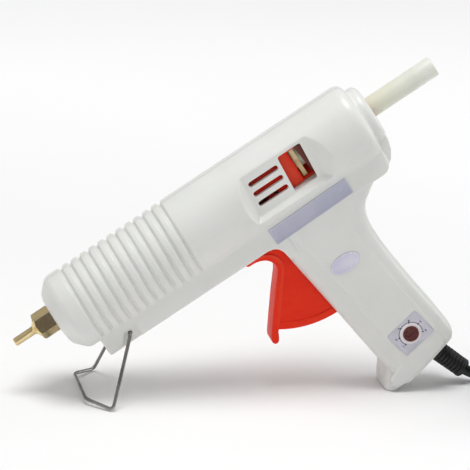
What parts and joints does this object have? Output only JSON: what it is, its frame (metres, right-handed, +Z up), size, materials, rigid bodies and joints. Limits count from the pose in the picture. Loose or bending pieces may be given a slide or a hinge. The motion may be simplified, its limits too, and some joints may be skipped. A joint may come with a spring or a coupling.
{
  "type": "hot glue applicator",
  "caption": "Electric pistol hot glue gun: ribbed barrel with brass nozzle, trigger-fed glue stick, folding wire stand, heat dial in the handle and a coiled mains lead with plug.",
  "frame": {"origin": "on the surface the tool rests on, under the middle of the tool without its free lead", "axes": "+Z up; +X level, from the nozzle towards the glue stick and the lead; +Y level, from the side with the window to the side with the screw heads"},
  "size_m": [0.3317, 0.1014, 0.1834],
  "materials": {
    "white_plastic": "satin moulded",
    "red_plastic": "satin moulded",
    "red_silicone": "matte",
    "brass": "turned, a little tarnished",
    "cast_aluminium": "as cast",
    "steel": "bright drawn",
    "zinc_steel": "zinc plated",
    "ceramic": "matte ceramic",
    "phenolic": "matte",
    "glue": "milky, waxy",
    "dark_red_plastic": "gloss",
    "board_green": "matte lacquer",
    "black_plastic": "matte",
    "black_rubber": "matte",
    "label_lilac": "bare plate",
    "copper": "annealed",
    "wire_red": "silicone insulated",
    "wire_brown": "insulated",
    "wire_blue": "insulated",
    "white_inner": "moulded"
  },
  "bodies": {
    "tool": {"left_casing": "white_plastic", "right_casing": "white_plastic", "casing_screw_1": "zinc_steel", "casing_screw_2": "zinc_steel", "casing_screw_3": "zinc_steel", "casing_screw_4": "zinc_steel", "casing_screw_5": "zinc_steel", "casing_screw_6": "zinc_steel", "casing_screw_7": "zinc_steel", "nozzle": "brass", "nozzle_washer": "copper", "melt_chamber": "cast_aluminium", "heater_plate_upper": "ceramic", "heater_plate_lower": "ceramic", "heater_clip_1": "steel", "heater_clip_2": "steel", "chamber_support_front": "phenolic", "chamber_support_rear": "phenolic", "stick_sleeve": "red_silicone", "sleeve_clamp": "steel", "trigger_pin": "steel", "return_spring": "steel", "stick_collar": "red_silicone", "dial_plate": "label_lilac", "potentiometer": "black_plastic", "side_label": "label_lilac", "handle_badge": "label_lilac", "control_board": "board_green", "board_screw_1": "zinc_steel", "board_screw_2": "zinc_steel", "triac": "black_plastic", "capacitor": "red_silicone", "heater_lead_1": "wire_red", "heater_lead_2": "wire_red", "strain_relief": "black_rubber", "inner_lead": "black_plastic", "mains_core_1": "wire_brown", "mains_core_2": "wire_blue", "cord_clamp": "white_inner", "clamp_screw_1": "zinc_steel", "clamp_screw_2": "zinc_steel", "cord_lead": "black_rubber", "cord_coil": "black_rubber", "cord_tail": "black_rubber", "plug": "black_plastic", "plug_pin_1": "steel", "plug_pin_2": "steel", "cord_tie": "black_plastic"},
    "trigger_body": {"trigger": "red_plastic", "arm_pin": "steel"},
    "link_body": {"drive_link": "steel"},
    "carriage_body": {"feed_carriage": "red_plastic", "carriage_pin": "steel", "grip_pin": "steel"},
    "grip_body": {"grip_plate": "brass"},
    "stick_body": {"glue_stick": "glue"},
    "stand_body": {"wire_stand": "steel"},
    "dial_body": {"heat_dial": "dark_red_plastic"}
  },
  "joints": [
    {"name": "trigger_pull", "type": "hinge", "parent": "tool", "child": "trigger_body", "pos_m": [0.01805, 0, 0.0894], "axis": [0, -1, 0], "range_deg": [0, 24], "stiffness_Nm_per_rad": 0.9, "springref_deg": -14.32},
    {"name": "link_swing", "type": "hinge", "parent": "trigger_body", "child": "link_body", "pos_m": [0.01027, 0, 0.10783], "axis": [0, -1, 0], "range_deg": [-24, 0]},
    {"name": "feed_slide", "type": "slide", "parent": "tool", "child": "carriage_body", "axis": [-0.8202, 0, -0.5721], "range_m": [0, 0.00837]},
    {"name": "grip_tilt", "type": "hinge", "parent": "carriage_body", "child": "grip_body", "pos_m": [0.0139, 0, 0.13844], "axis": [0, -1, 0], "range_deg": [0, 6]},
    {"name": "stick_slide", "type": "slide", "parent": "carriage_body", "child": "stick_body", "axis": [0.8202, 0, 0.5721], "range_m": [0, 0.11]},
    {"name": "stand_fold", "type": "hinge", "parent": "tool", "child": "stand_body", "pos_m": [-0.0646, 0, 0.03712], "axis": [0, -1, 0], "range_deg": [0, 145]},
    {"name": "dial_turn", "type": "hinge", "parent": "tool", "child": "dial_body", "pos_m": [0.08804, -0.0135, 0.03398], "axis": [0, 1, 0], "range_deg": [0, 270]}
  ],
  "couplings": [
    {"joint": "link_swing", "follows": "trigger_pull", "ratio": -1},
    {"joint": "feed_slide", "follows": "trigger_pull", "m_per_rad": 0.019854},
    {"joint": "grip_tilt", "follows": "trigger_pull", "ratio": 0.25}
  ]
}
